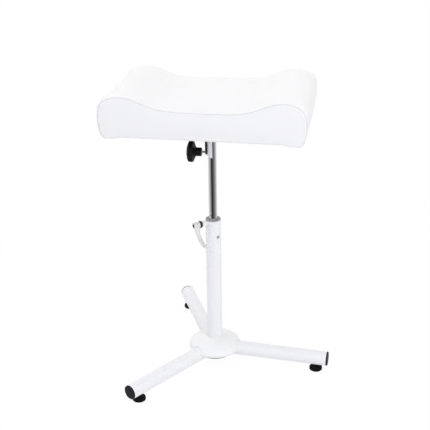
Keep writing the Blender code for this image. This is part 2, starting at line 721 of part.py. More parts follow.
def build_clamp(paint, silver, black_steel, grey):
    point = Vector((0.0, 0.0, CLAMP_Z))
    out = heading(CLAMP_TURN_DEG)
    lie = along(out, point)
    seat = point + out * COLLAR_START
    bore = CLAMP_STUD_RADIUS + FIT_GAP
    outline = (
        (bore, BOSS_START),
        (BOSS_RADIUS, BOSS_START),
        (BOSS_RADIUS, BOSS_END - BOSS_EDGE),
        (BOSS_RADIUS - BOSS_EDGE, BOSS_END),
        (bore, BOSS_END),
    )
    boss = place("clamp_boss", revolve(outline), lie, paint, point)
    around = rod(COLUMN_RADIUS + FIT_GAP, COLUMN_BOTTOM, COLUMN_TOP + CUT_REACH, ROUND_SEGMENTS)
    cut(boss, cutter("cut_boss_saddle", around, Matrix.Identity(4)))
    pad = rod(CLAMP_PAD_RADIUS, CLAMP_PAD_START, CLAMP_PAD_END)
    place("clamp_pad", pad, lie, grey, point)
    outline = (
        (0.0, CLAMP_STUD_TIP),
        (CLAMP_STUD_RADIUS - CLAMP_STUD_CHAMFER, CLAMP_STUD_TIP),
        (CLAMP_STUD_RADIUS, CLAMP_STUD_TIP + CLAMP_STUD_CHAMFER),
        (CLAMP_STUD_RADIUS, COLLAR_START),
        (COLLAR_RADIUS - COLLAR_EDGE, COLLAR_START),
        (COLLAR_RADIUS, COLLAR_START + COLLAR_EDGE),
        (COLLAR_RADIUS, COLLAR_END),
        (CORE_RADIUS, COLLAR_END),
        (CORE_RADIUS, CORE_END),
        (CORE_TAP_RADIUS, CORE_END),
        (CORE_TAP_RADIUS, CORE_TAP_START),
        (0.0, CORE_TAP_START),
    )
    place("clamp_screw", revolve(outline), lie, black_steel, seat)
    outline = (
        (0.0, LEVER_SCREW_START),
        (LEVER_SCREW_RADIUS, LEVER_SCREW_START),
        (LEVER_SCREW_RADIUS, LEVER_SCREW_HEAD_START),
        (LEVER_SCREW_HEAD_RADIUS, LEVER_SCREW_HEAD_START),
        (LEVER_SCREW_HEAD_RADIUS, LEVER_SCREW_END),
        (LEVER_SCREW_DRIVE_RADIUS, LEVER_SCREW_END),
        (LEVER_SCREW_DRIVE_RADIUS, LEVER_SCREW_END - LEVER_SCREW_DRIVE_DEPTH),
        (0.0, LEVER_SCREW_END - LEVER_SCREW_DRIVE_DEPTH),
    )
    place("lever_screw", revolve(outline, SMALL_SEGMENTS), lie, black_steel, seat)
    outline = (
        (LEVER_CORE_BORE, LEVER_HUB_START),
        (LEVER_HUB_RADIUS, LEVER_HUB_START),
        (LEVER_HUB_RADIUS, LEVER_HUB_END - LEVER_HUB_EDGE),
        (LEVER_HUB_RADIUS - LEVER_HUB_EDGE, LEVER_HUB_END),
        (LEVER_CHAMBER, LEVER_HUB_END),
        (LEVER_CHAMBER, LEVER_WEB_END),
        (LEVER_WEB_BORE, LEVER_WEB_END),
        (LEVER_WEB_BORE, LEVER_CORE_DEPTH),
        (LEVER_CORE_BORE, LEVER_CORE_DEPTH),
    )
    lever = place("lever_arm", revolve(outline), lie, silver, seat)
    swing = Matrix.Rotation(math.radians(LEVER_SWING_DEG), 4, out)
    side = Vector((0.0, 0.0, 1.0)).cross(out)
    frame = Matrix((
        (side.x, 0.0, out.x, 0.0),
        (side.y, 0.0, out.y, 0.0),
        (side.z, 1.0, out.z, 0.0),
        (0.0, 0.0, 0.0, 1.0),
    ))
    boolean(lever, lever_arm(Matrix.Translation(point) @ swing @ frame), "UNION")


def screw_points():
    for side_x in (-0.5, 0.5):
        for side_y in (-0.5, 0.5):
            yield side_x * SCREW_SPACING_X, side_y * SCREW_SPACING_Y


def build_bracket(black_steel, zinc):
    up = Matrix.Identity(4)
    tilt_point = (0.0, 0.0, TILT_Z)
    plate = extrude(rounded_box(PLATE_LENGTH, PLATE_WIDTH, PLATE_CORNER),
                    PLATE_TOP - PLATE_THICK, PLATE_TOP)
    bracket = place("tilt_bracket", plate, up, black_steel, tilt_point)
    root = PLATE_TOP - PLATE_THICK + PLATE_BITE - TILT_Z
    outline = [(EAR_HALF_WIDTH, root), (-EAR_HALF_WIDTH, root)]
    for side, start_deg in ((-1, 180.0), (1, 270.0)):
        for step in range(CORNER_STEPS + 1):
            angle = math.radians(start_deg + 90.0 * step / CORNER_STEPS)
            outline.append((side * (EAR_HALF_WIDTH - EAR_CORNER) + EAR_CORNER * math.cos(angle),
                            EAR_CORNER - EAR_DROP + EAR_CORNER * math.sin(angle)))
    facing = Matrix(((0, 0, -1, 0), (1, 0, 0, 0), (0, 1, 0, TILT_Z), (0, 0, 0, 1)))
    ear = extrude(outline, EAR_INNER, EAR_INNER + EAR_THICK)
    boolean(bracket, cutter("add_ear", ear, facing), "UNION")
    outer = EAR_INNER + EAR_THICK
    outline = (
        (-outer + PLATE_BITE, root),
        (-outer + PLATE_BITE, root - GUSSET_DROP),
        (-outer, root - GUSSET_DROP),
        (-GUSSET_REACH, root - PLATE_BITE),
        (-GUSSET_REACH, root),
    )
    upright = Matrix(((1, 0, 0, 0), (0, 0, 1, 0), (0, 1, 0, TILT_Z), (0, 0, 0, 1)))
    gusset = extrude(outline, -GUSSET_THICK / 2, GUSSET_THICK / 2)
    boolean(bracket, cutter("add_gusset", gusset, upright), "UNION")
    left = along((-1.0, 0.0, 0.0), tilt_point)
    hole = rod(KNOB_STUD_RADIUS + FIT_GAP, EAR_INNER - CUT_REACH / 2, outer + CUT_REACH)
    cut(bracket, cutter("cut_ear_hole", hole, left))
    for number, (x, y) in enumerate(screw_points(), 1):
        stand = Matrix.Translation((x, y, 0.0))
        low = PLATE_TOP - PLATE_THICK - FIT_GAP - SCREW_HEAD_HEIGHT
        neck = PLATE_TOP - PLATE_THICK - FIT_GAP
        outline = (
            (0.0, low + SCREW_DRIVE_DEPTH),
            (SCREW_DRIVE_RADIUS, low + SCREW_DRIVE_DEPTH),
            (SCREW_DRIVE_RADIUS, low),
            (SCREW_HEAD_RADIUS - SCREW_HEAD_EDGE, low),
            (SCREW_HEAD_RADIUS, low + SCREW_HEAD_EDGE),
            (SCREW_HEAD_RADIUS, neck),
            (SCREW_RADIUS, neck),
            (SCREW_RADIUS, SCREW_TOP - SCREW_POINT),
            (SCREW_POINT_RADIUS, SCREW_TOP),
            (0.0, SCREW_TOP),
        )
        name = "bracket_screw_" + str(number)
        place(name, revolve(outline, SMALL_SEGMENTS), stand, zinc, tilt_point)
        hole = rod(SCREW_RADIUS + FIT_GAP, low, SCREW_TOP + FIT_GAP)
        tool = cutter("cut_screw_" + str(number), hole, stand)
        yield tool
        cut(bracket, tool)


def cushion_ring(draw_in):
    """Whole profile of the cushion, drawn in by one amount all round."""
    half = list(CUSHION_PROFILE)
    whole = half + [(-x, z) for x, z in half[:0:-1]]
    whole.insert(len(half), (0.0, CUSHION_RIM))
    count = len(whole)
    ring = []
    for index, (x, z) in enumerate(whole):
        before = Vector(whole[index - 1])
        after = Vector(whole[(index + 1) % count])
        run = (after - before).normalized()
        out_x = -run.y
        out_z = run.x
        shift = 0.0 if z == CUSHION_RIM and draw_in < 0.0 else draw_in
        ring.append((x - out_x * shift, z - out_z * shift))
    return ring


def build_cushion(vinyl, plywood, fabric, screw_tools):
    up = Matrix.Identity(4)
    tilt_point = (0.0, 0.0, TILT_Z)
    solid = bmesh.new()
    rings = []
    stations = [(-y, inset) for y, inset in CUSHION_RINGS]
    stations += [(y, inset) for y, inset in CUSHION_RINGS[-2::-1]]
    for y, draw_in in stations:
        ring = cushion_ring(draw_in)
        rings.append([solid.verts.new((x, y, CUSHION_BOTTOM + z)) for x, z in ring])
    for first, second in zip(rings, rings[1:]):
        for step in range(len(first)):
            after = (step + 1) % len(first)
            solid.faces.new((first[step], first[after], second[after], second[step]))
    solid.faces.new(rings[0])
    solid.faces.new(rings[-1])
    cushion = place("cushion", solid, up, vinyl, tilt_point)
    cover_low = PLATE_TOP + FIT_GAP
    cover_high = cover_low + COVER_THICK
    board_low = cover_high + FIT_GAP
    board_high = board_low + BOARD_THICK
    outline = rounded_box(BOARD_LENGTH, BOARD_WIDTH, BOARD_CORNER)
    cover = place("underside_cover", extrude(outline, cover_low, cover_high), up, fabric, tilt_point)
    board = place("backing_board", extrude(outline, board_low, board_high), up, plywood, tilt_point)
    for tool in screw_tools:
        cut(cover, tool)
        cut(board, tool)
    outline = rounded_box(BOARD_LENGTH + 2 * FIT_GAP, BOARD_WIDTH + 2 * FIT_GAP, BOARD_CORNER + FIT_GAP)
    pocket = extrude(outline, CUSHION_BOTTOM + CUSHION_RIM - CUT_REACH, board_high + FIT_GAP)
    cut(cushion, cutter("cut_cushion_pocket", pocket, up))


def main():
    clear_scene()
    made = make_materials()
    build_column(made["white_paint"], made["grey_plastic"], made["zinc_steel"])
    for number, name in enumerate(LEG_NAMES):
        angle_deg = BASE_TURN_DEG + LEG_STEP_DEG * number
        build_leg(name, angle_deg, made["white_paint"], made["black_plastic"], made["zinc_steel"])
    build_hub(made["white_paint"], made["black_plastic"])
    build_post(made["chrome"], made["grey_plastic"], made["black_plastic"], made["zinc_steel"])
    build_knob(made["black_plastic"], made["zinc_steel"])
    build_clamp(made["white_paint"], made["silver_paint"], made["black_steel"],
                made["grey_plastic"])
    tools = list(build_bracket(made["black_steel"], made["zinc_steel"]))
    build_cushion(made["white_vinyl"], made["plywood"], made["black_fabric"], tools)
    for item in bpy.data.objects:
        item.location += Vector((AXIS_X, AXIS_Y, 0.0))


main()
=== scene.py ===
"""Looks of the pedicure footrest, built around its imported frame."""
import json
import math

import bmesh
import bpy
import numpy as np
from mathutils import Matrix, Vector
from mathutils.bvhtree import BVHTree

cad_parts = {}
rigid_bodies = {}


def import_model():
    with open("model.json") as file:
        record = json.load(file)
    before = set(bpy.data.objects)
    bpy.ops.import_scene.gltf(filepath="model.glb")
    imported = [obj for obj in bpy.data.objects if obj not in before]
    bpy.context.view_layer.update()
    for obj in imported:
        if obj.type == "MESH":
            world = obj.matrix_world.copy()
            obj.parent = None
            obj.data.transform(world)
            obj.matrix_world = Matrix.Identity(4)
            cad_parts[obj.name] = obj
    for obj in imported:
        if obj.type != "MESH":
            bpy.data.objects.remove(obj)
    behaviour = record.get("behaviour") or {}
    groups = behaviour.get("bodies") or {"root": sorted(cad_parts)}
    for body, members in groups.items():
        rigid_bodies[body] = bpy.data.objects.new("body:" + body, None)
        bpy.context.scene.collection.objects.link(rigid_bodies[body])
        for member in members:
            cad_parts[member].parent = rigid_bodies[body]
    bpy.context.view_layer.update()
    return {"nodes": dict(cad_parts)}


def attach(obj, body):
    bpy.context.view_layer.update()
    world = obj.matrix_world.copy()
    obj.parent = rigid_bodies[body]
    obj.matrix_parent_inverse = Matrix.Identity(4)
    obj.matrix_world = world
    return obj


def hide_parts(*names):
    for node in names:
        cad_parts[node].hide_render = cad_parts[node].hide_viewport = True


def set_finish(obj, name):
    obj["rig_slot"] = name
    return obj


for item in list(bpy.data.objects):
    bpy.data.objects.remove(item, do_unlink=True)
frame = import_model()
NODES = frame["nodes"]

# Places shared by the pieces, in metres
AXIS = Vector((-0.0253, -0.0086, 0.0))
TURN = 2.0 * math.pi
BASE_TURN_DEG = -4.5
LEG_NAMES = ("right", "back_left", "front_left")
LEG_AXIS_Z = 0.0288
LEG_RADIUS = 0.0150
FOOT_REACH = 0.2217
TILT_Z = 0.4760
CLAMP_Z = 0.3256
CLAMP_TURN_DEG = 220.0
FIT_GAP = 0.0003

# Camera
CAMERA_AT = (0.2931, -1.7473, 1.1537)
CAMERA_PITCH_DEG = 24.738
CAMERA_ROLL_DEG = -0.8207
CAMERA_TURN_DEG = 10.252
CAMERA_LENS = 79.72
CAMERA_SENSOR = 36.0

# Light
SKY_COLOUR = (0.955, 0.960, 1.0)
SKY_STRENGTH = 0.725
LAMP_COLOUR = (1.0, 0.995, 0.975)
LAMPS = (
    ((1.8, -1.7, 2.4), 2.2, 34.0),
    ((-2.4, -0.4, 3.7), 3.8, 34.0),
    ((-2.2, 1.3, 1.3), 1.6, 9.0),
)
FRONT_LAMP = ((0.30, -2.6, 0.30), 0.5, 4.3)
FRONT_LAMP_COLOUR = (0.66, 0.70, 1.0)
UPPER_MIRROR = (1.72, 1.71, 1.64)
# Direction round the post, in degrees from the camera, and how bright a mirror sees it
MIRROR_BANDS = (
    (-110.0, 0.78),
    (-78.0, 0.50),
    (-58.0, 0.38),
    (-44.0, 0.22),
    (-30.0, 0.03),
    (-8.0, 0.03),
    (14.0, 0.10),
    (39.0, 0.195),
    (66.0, 0.34),
    (97.0, 0.60),
    (125.0, 0.88),
    (180.0, 1.00),
)
MIRROR_FRONT_DEG = -79.6
LAMP_TARGET = Vector((0.0, 0.0, 0.35))
FLOOR_REACH = 9.0
FLOOR_COLOUR = (0.97, 0.97, 0.97, 1.0)
# Distances between which the floor fades to the white ground, and its share of white at the first
FLOOR_FADE = (0.20, 0.80)
FLOOR_NEAR_SHARE = 0.965
FLOOR_GLOW_SHARE = 0.45


# Materials
def add(tree, kind, values=None, **settings):
    """Add a shader node; a value that is a socket is linked, any other is set."""
    made = tree.nodes.new(kind)
    for key, value in settings.items():
        setattr(made, key, value)
    for key, value in (values or {}).items():
        if isinstance(value, bpy.types.NodeSocket):
            tree.links.new(value, made.inputs[key])
        else:
            made.inputs[key].default_value = value
    return made


def new_material(name, **values):
    """Material with values set on its shader's own sockets."""
    material = bpy.data.materials.new(name)
    material.use_nodes = True
    tree = material.node_tree
    shader = tree.nodes["Principled BSDF"]
    for key, value in values.items():
        shader.inputs[key.replace("_", " ")].default_value = value
    return material, tree, shader


def spread(tree, source, low, high):
    """Spread the middle of a noise over a range of values."""
    made = add(tree, "ShaderNodeMapRange", {0: source, 1: 0.3, 2: 0.7, 3: low, 4: high})
    return made.outputs[0]


def noise(tree, where, scale, detail=3.0, stretch=None):
    if stretch is not None:
        where = add(tree, "ShaderNodeMapping", {0: where, 3: stretch}).outputs[0]
    values = {"Vector": where, "Scale": scale, "Detail": detail, "Roughness": 0.55}
    return add(tree, "ShaderNodeTexNoise", values).outputs[0]


def tone(tree, shader, share, dark, light):
    """Mix the base colour between two tones."""
    values = {0: share, 6: (*dark, 1.0), 7: (*light, 1.0)}
    mixed = add(tree, "ShaderNodeMix", values, data_type="RGBA").outputs[2]
    tree.links.new(mixed, shader.inputs["Base Color"])


def bumps(tree, shader, layers):
    """Chain bump layers of (height, distance, strength) into the shader's normal."""
    normal = None
    for height, distance, strength in layers:
        values = {"Height": height, "Distance": distance, "Strength": strength}
        if normal is not None:
            values["Normal"] = normal
        normal = add(tree, "ShaderNodeBump", values).outputs[0]
    tree.links.new(normal, shader.inputs["Normal"])


def shaded(colour, amount):
    return tuple(part * amount for part in colour)


def object_place(tree):
    return add(tree, "ShaderNodeTexCoord").outputs["Object"]


def paint_material(name, colour, roughness, metallic=0.0):
    """Powder coat: slight orange peel, cloudy tone and a thin clear sheen."""
    material, tree, shader = new_material(
        name, Metallic=metallic, Specular_IOR_Level=0.35, Coat_Weight=0.08, Coat_Roughness=0.30)
    place = object_place(tree)
    cloud = noise(tree, place, 14.0)
    tone(tree, shader, spread(tree, cloud, 0.0, 1.0), shaded(colour, 0.985), colour)
    rough = spread(tree, noise(tree, place, 120.0), roughness - 0.05, roughness + 0.07)
    tree.links.new(rough, shader.inputs["Roughness"])
    peel = noise(tree, place, 620.0, 2.0)
    fine = noise(tree, place, 2600.0, 2.0)
    bumps(tree, shader, ((peel, 0.00006, 0.35), (fine, 0.00002, 0.30)))
    return material


def plastic_material(name, colour, roughness, grain, depth, level=0.35):
    """Moulded plastic or rubber with a fine spark-eroded grain."""
    material, tree, shader = new_material(name, Metallic=0.0, Specular_IOR_Level=level)
    place = object_place(tree)
    tone(tree, shader, spread(tree, noise(tree, place, 60.0), 0.0, 1.0), shaded(colour, 0.75), colour)
    rough = spread(tree, noise(tree, place, 260.0), roughness - 0.06, roughness + 0.08)
    tree.links.new(rough, shader.inputs["Roughness"])
    bumps(tree, shader, ((noise(tree, place, grain, 3.0), depth, 0.5),))
    return material


def metal_material(name, colour, roughness, stretch, depth, metallic=1.0):
    """Metal with drawn or turned lines and faint smudges."""
    material, tree, shader = new_material(name, Metallic=metallic)
    place = object_place(tree)
    lines = noise(tree, place, 1.0, 3.0, stretch)
    smudge = noise(tree, place, 45.0, 4.0)
    tone(tree, shader, spread(tree, lines, 0.0, 1.0), shaded(colour, 0.93), colour)
    share = add(tree, "ShaderNodeMath", {0: lines, 1: smudge}, operation="MULTIPLY").outputs[0]
    wide = add(tree, "ShaderNodeMapRange",
               {0: share, 1: 0.10, 2: 0.42, 3: roughness * 0.8, 4: roughness * 1.5}).outputs[0]
    tree.links.new(wide, shader.inputs["Roughness"])
    bumps(tree, shader, ((lines, depth, 0.4),))
    return material


def vinyl_material(name, colour, lift=1.0):
    """Soft coated fabric: pebbled leather grain, pores and a cloudy tone."""
    material, tree, shader = new_material(
        name, Metallic=0.0, Specular_IOR_Level=0.28, Sheen_Weight=0.06, Sheen_Roughness=0.5)
    place = object_place(tree)
    bent = add(tree, "ShaderNodeTexNoise", {"Vector": place, "Scale": 130.0, "Detail": 2.0})
    shifted = add(tree, "ShaderNodeVectorMath", {0: bent.outputs[1], 1: (0.5, 0.5, 0.5)},
                  operation="SUBTRACT").outputs[0]
    small = add(tree, "ShaderNodeVectorMath", {0: shifted, "Scale": 0.0022}, operation="SCALE").outputs[0]
    moved = add(tree, "ShaderNodeVectorMath", {0: place, 1: small}, operation="ADD").outputs[0]
    cells = add(tree, "ShaderNodeTexVoronoi", {"Vector": moved, "Scale": 620.0},
                feature="DISTANCE_TO_EDGE").outputs[0]
    pebble = add(tree, "ShaderNodeMapRange", {0: cells, 1: 0.0, 2: 0.28, 3: 0.0, 4: 1.0},
                 interpolation_type="SMOOTHSTEP").outputs[0]
    pores = noise(tree, place, 2400.0, 2.0)
    hand = noise(tree, place, 28.0, 4.0)
    cloud = spread(tree, noise(tree, place, 9.0), 0.0, 1.0)
    both = add(tree, "ShaderNodeMath", {0: pebble, 1: 0.55, 2: cloud},
               operation="MULTIPLY_ADD").outputs[0]
    share = add(tree, "ShaderNodeMath", {0: both, 1: 0.645}, operation="MULTIPLY").outputs[0]
    tone(tree, shader, share, shaded(colour, 0.965), colour)
    rough = add(tree, "ShaderNodeMapRange", {0: pebble, 3: 0.58, 4: 0.44}).outputs[0]
    tree.links.new(rough, shader.inputs["Roughness"])
    bumps(tree, shader, ((hand, 0.0005 * lift, 0.22), (pebble, 0.00012 * lift, 0.40),
                         (pores, 0.00003 * lift, 0.30)))
    return material


def wood_material(name):
    material, tree, shader = new_material(name, Metallic=0.0)
    place = object_place(tree)
    grain = noise(tree, place, 1.0, 4.0, (14.0, 210.0, 300.0))
    tone(tree, shader, spread(tree, grain, 0.0, 1.0), (0.47, 0.32, 0.18), (0.69, 0.53, 0.34))
    shader.inputs["Roughness"].default_value = 0.72
    bumps(tree, shader, ((grain, 0.0002, 0.5),))
    return material


def cloth_material(name):
    """Thin spun dust cover with a cross weave."""
    material, tree, shader = new_material(name, Metallic=0.0, Specular_IOR_Level=0.2)
    place = object_place(tree)
    waves = []
    for direction in ("X", "Y"):
        waves.append(add(tree, "ShaderNodeTexWave", {"Vector": place, "Scale": 240.0, "Distortion": 0.6},
                         bands_direction=direction).outputs[1])
    weave = add(tree, "ShaderNodeMath", {0: waves[0], 1: waves[1]}, operation="MULTIPLY").outputs[0]
    tone(tree, shader, weave, (0.012, 0.012, 0.014), (0.040, 0.040, 0.044))
    shader.inputs["Roughness"].default_value = 0.92
    bumps(tree, shader, ((weave, 0.0002, 0.6),))
    return material


PAINT = paint_material("white_paint", (0.832, 0.834, 0.848), 0.46)
# Brighter copy of the white paint for the hub cover: painted light that makes up for the cushion's shade
# on the hub
PAINT_LIT_COPY = paint_material("white_paint_lit_copy", (0.852, 0.852, 0.853), 0.46)
SILVER = paint_material("silver_paint", (0.72, 0.72, 0.71), 0.42, 0.05)
VINYL = vinyl_material("white_vinyl", (0.853, 0.852, 0.853))
# Piping tinted grey-lilac and darker than the cover: painted shade along the seam line
PIPING_SEAM_SHADE = vinyl_material("white_vinyl_piping_seam_shade", (0.75, 0.745, 0.765), 0.5)
BLACK = plastic_material("black_plastic", (0.012, 0.012, 0.015), 0.46, 1500.0, 0.00005, 0.12)
RUBBER = plastic_material("black_rubber", (0.005, 0.005, 0.006), 0.72, 900.0, 0.00008, 0.09)
GREY = plastic_material("grey_plastic", (0.36, 0.36, 0.36), 0.48, 1600.0, 0.00004)
CHROME = metal_material("chrome", (0.84, 0.85, 0.87), 0.055, (1500.0, 1500.0, 25.0), 0.000004)
ZINC = metal_material("zinc_steel", (0.86, 0.86, 0.88), 0.36, (1200.0, 1200.0, 120.0), 0.00002, 0.55)
SADDLE = metal_material(
    "zinc_steel_sleeve", (0.97, 0.97, 0.97), 0.40, (1200.0, 1200.0, 60.0), 0.00001, 0.0)
DULL_ZINC = metal_material(
    "zinc_steel_screw", (0.50, 0.50, 0.51), 0.40, (1200.0, 1200.0, 120.0), 0.00002, 0.55)
DARK_STEEL = metal_material(
    "black_steel", (0.030, 0.030, 0.033), 0.42, (900.0, 900.0, 900.0), 0.00003, 0.3)
WOOD = wood_material("plywood")
FABRIC = cloth_material("black_fabric")
BY_SLOT = {
    "white_paint": PAINT, "silver_paint": SILVER, "white_vinyl": VINYL, "black_plastic": BLACK,
    "grey_plastic": GREY, "chrome": CHROME, "zinc_steel": ZINC, "black_steel": DARK_STEEL,
    "plywood": WOOD, "black_fabric": FABRIC,
}
# Nodes whose finish differs from the rest of their slot
BY_NODE = {"post_saddle": SADDLE, "bush_screw": DULL_ZINC}


# Shapes
def along(direction, point):
    """Matrix that lays a shape made along +Z on a direction, with its start at a point."""
    turn = Vector((0.0, 0.0, 1.0)).rotation_difference(Vector(direction))
    return Matrix.Translation(point) @ turn.to_matrix().to_4x4()


def spun(angle_deg):
    """Turn about +Z."""
    return Matrix.Rotation(math.radians(angle_deg), 4, "Z")


def heading(angle_deg):
    return spun(angle_deg) @ Vector((1.0, 0.0, 0.0))


def rounded(outline, radius, steps=4):
    """Round the corners of a closed outline."""
    made = []
    count = len(outline)
    for index, point in enumerate(outline):
        here = Vector(point)
        back = Vector(outline[index - 1]) - here
        ahead = Vector(outline[(index + 1) % count]) - here
        bend = math.pi - back.angle(ahead)
        if here.x == 0.0 or bend < math.radians(12.0):
            made.append(tuple(point))
            continue
        reach = min(radius * math.tan(bend / 2.0), back.length * 0.45, ahead.length * 0.45)
        start = here + back.normalized() * reach
        end = here + ahead.normalized() * reach
        for step in range(steps + 1):
            share = step / steps
            first = start.lerp(here, share)
            second = here.lerp(end, share)
            made.append(tuple(first.lerp(second, share)))
    return made


def turned(outline, segments, lobes=0, lobe_share=0.0, lobe_from=0.0, lobe_to=0.0):
    """Solid of revolution about +Z from a closed outline of (radius, height) points."""
    solid = bmesh.new()
    rings = []
    for radius, height in outline:
        if radius <= 1e-7:
            rings.append([solid.verts.new((0.0, 0.0, height))])
            continue
        ring = []
        for step in range(segments):
            angle = TURN * step / segments
            reach = radius
            if lobes:
                weight = min(1.0, max(0.0, (radius - lobe_from) / (lobe_to - lobe_from)))
                reach *= 1.0 - weight * lobe_share * (0.5 - 0.5 * math.cos(lobes * angle))
            ring.append(solid.verts.new((reach * math.cos(angle), reach * math.sin(angle), height)))
        rings.append(ring)
    for first, second in zip(rings, rings[1:] + rings[:1]):
        if len(first) == 1 and len(second) == 1:
            continue
        for step in range(segments):
            after = (step + 1) % segments
            if len(first) == 1:
                corners = (first[0], second[step], second[after])
            elif len(second) == 1:
                corners = (first[step], second[0], first[after])
            else:
                corners = (first[step], second[step], second[after], first[after])
            solid.faces.new(corners)
    return solid


def prism(outline, low, high):
    """Straight solid over a closed outline of (x, y) points."""
    solid = bmesh.new()
    lower = [solid.verts.new((x, y, low)) for x, y in outline]
    upper = [solid.verts.new((x, y, high)) for x, y in outline]
    solid.faces.new(lower)
    solid.faces.new(upper)
    for step in range(len(outline)):
        after = (step + 1) % len(outline)
        solid.faces.new((lower[step], lower[after], upper[after], upper[step]))
    return solid


def lofted(rings):
    """Closed skin through rings of points, capped at both ends."""
    solid = bmesh.new()
    made = [[solid.verts.new(point) for point in ring] for ring in rings]
    for first, second in zip(made, made[1:]):
        for step in range(len(first)):
            after = (step + 1) % len(first)
            solid.faces.new((first[step], first[after], second[after], second[step]))
    solid.faces.new(made[0])
    solid.faces.new(made[-1])
    return solid


def placed(name, solid, lie, material=None, sharp_deg=50.0):
    """Make an object from a shape, laid in the row frame."""
    bmesh.ops.transform(solid, matrix=Matrix.Translation(AXIS) @ lie, verts=solid.verts)
    bmesh.ops.recalc_face_normals(solid, faces=solid.faces)
    mesh = bpy.data.meshes.new(name)
    solid.to_mesh(mesh)
    solid.free()
    mesh.shade_smooth()
    mesh.set_sharp_from_angle(angle=math.radians(sharp_deg))
    made = bpy.data.objects.new(name, mesh)
    bpy.context.scene.collection.objects.link(made)
    if material is not None:
        mesh.materials.append(material)
    return made


def settle(piece):
    """Put a piece's modifiers into its mesh."""
    graph = bpy.context.evaluated_depsgraph_get()
    graph.update()
    mesh = bpy.data.meshes.new_from_object(piece.evaluated_get(graph), depsgraph=graph)
    piece.modifiers.clear()
    piece.data = mesh
    return piece


def melt(piece, voxel):
    """Remesh a piece so that its parts run into each other."""
    change = piece.modifiers.new("melt", "REMESH")
    change.mode = "VOXEL"
    change.voxel_size = voxel


def copied(piece):
    twin = piece.copy()
    twin.data = piece.data.copy()
    bpy.context.scene.collection.objects.link(twin)
    return twin


def carved(piece, tools, operation="DIFFERENCE"):
    """Cut tools from a piece, or join them to it, and put the result in its mesh."""
    for tool in tools:
        change = piece.modifiers.new("carve", "BOOLEAN")
        change.operation = operation
        change.solver = "EXACT"
        change.object = tool
    settle(piece)
    for tool in tools:
        bpy.data.objects.remove(tool, do_unlink=True)
    return piece


def finished(piece, body, slot, *stands_for):
    """Give a piece its body, its slot and the nodes that it replaces."""
    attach(piece, body)
    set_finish(piece, slot)
    if stands_for:
        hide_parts(*stands_for)
    return piece


# Even shading and fine edges for the kept CAD nodes
SAME_PLACE = 0.000002
SHARP_TURN_DEG = 32.0
FINE_EDGE = 0.00018


def shading_group():
    """Joined vertices, smooth faces and sharp edges, whatever the mesh came with."""
    group = bpy.data.node_groups.new("even_shading", "GeometryNodeTree")
    group.interface.new_socket("Geometry", in_out="INPUT", socket_type="NodeSocketGeometry")
    group.interface.new_socket("Geometry", in_out="OUTPUT", socket_type="NodeSocketGeometry")
    start = add(group, "NodeGroupInput")
    merged = add(group, "GeometryNodeMergeByDistance",
                 {"Geometry": start.outputs[0], "Distance": SAME_PLACE})
    angle = add(group, "GeometryNodeInputMeshEdgeAngle")
    sharp = add(group, "FunctionNodeCompare", {0: angle.outputs[0], 1: math.radians(SHARP_TURN_DEG)},
                data_type="FLOAT", operation="GREATER_THAN")
    normals = add(group, "GeometryNodeSetMeshNormal", {"Mesh": merged.outputs[0], "Remove Custom": True},
                  mode="SHARPNESS")
    group.links.new(sharp.outputs[0], normals.inputs["Edge Sharpness"])
    end = add(group, "NodeGroupOutput")
    group.links.new(normals.outputs[0], end.inputs[0])
    return group


def dress_nodes():
    """Give each kept CAD node its finish, even shading and a fine edge."""
    group = shading_group()
    for name, node in NODES.items():
        slot = next(slot for slot in BY_SLOT if node.data.materials[0].name.startswith(slot))
        node.data.materials.clear()
        node.data.materials.append(BY_NODE.get(name, BY_SLOT[slot]))
        node["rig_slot"] = slot
        even = node.modifiers.new("even_shading", "NODES")
        even.node_group = group
        edge = node.modifiers.new("fine_edge", "BEVEL")
        edge.width = FINE_EDGE
        edge.segments = 2
        edge.limit_method = "ANGLE"
        edge.angle_limit = math.radians(50.0)
        edge.harden_normals = True


# Base: hub cover and the soles of the feet
HUB_OUTLINE = (
    (0.0163, 0.0550), (0.0173, 0.0537), (0.0195, 0.0528), (0.0230, 0.0523), (0.0310, 0.0506),
    (0.0390, 0.0480), (0.0460, 0.0445), (0.0515, 0.0401), (0.0546, 0.0352), (0.0555, 0.0322),
    (0.0541, 0.0287), (0.0500, 0.0261), (0.0440, 0.0252),
)
HUB_WALL = 0.0022
HUB_LIP = 0.0004
# Arch over each leg: its lowest height and its reach from the axis
HUB_ARCH_LOW = 0.0100
HUB_ARCH_REACH = (0.020, 0.062)
# Cap under the hub, from the middle of its face round to its inside
HUB_CAP_OUTLINE = (
    (0.0, 0.0194), (0.0405, 0.0190), (0.0424, 0.0194),
    (0.0430, 0.0206), (0.0430, 0.0234), (0.0, 0.0234),
)


def smooth_line(points, per_span):
    """Smooth open curve through points."""
    points = [np.array(point, float) for point in points]
    made = []
    for index in range(len(points) - 1):
        before = points[max(index - 1, 0)]
        first, second = points[index], points[index + 1]
        after = points[min(index + 2, len(points) - 1)]
        for step in range(per_span):
            t = step / per_span
            made.append(0.5 * ((2 * first) + (second - before) * t
                               + (2 * before - 5 * first + 4 * second - after) * t * t
                               + (3 * first - before - 3 * second + after) * t ** 3))
    made.append(points[-1])
    return made


def shell_outline(points, wall):
    """Closed outline of a wall that lies inside an open line of points."""
    inner = []
    for index, point in enumerate(points):
        before = Vector(points[max(index - 1, 0)])
        after = Vector(points[min(index + 1, len(points) - 1)])
        run = (after - before).normalized()
        inner.append((max(points[0][0], point[0] + wall * run.y), point[1] - wall * run.x))
    return [tuple(point) for point in points] + inner[::-1]


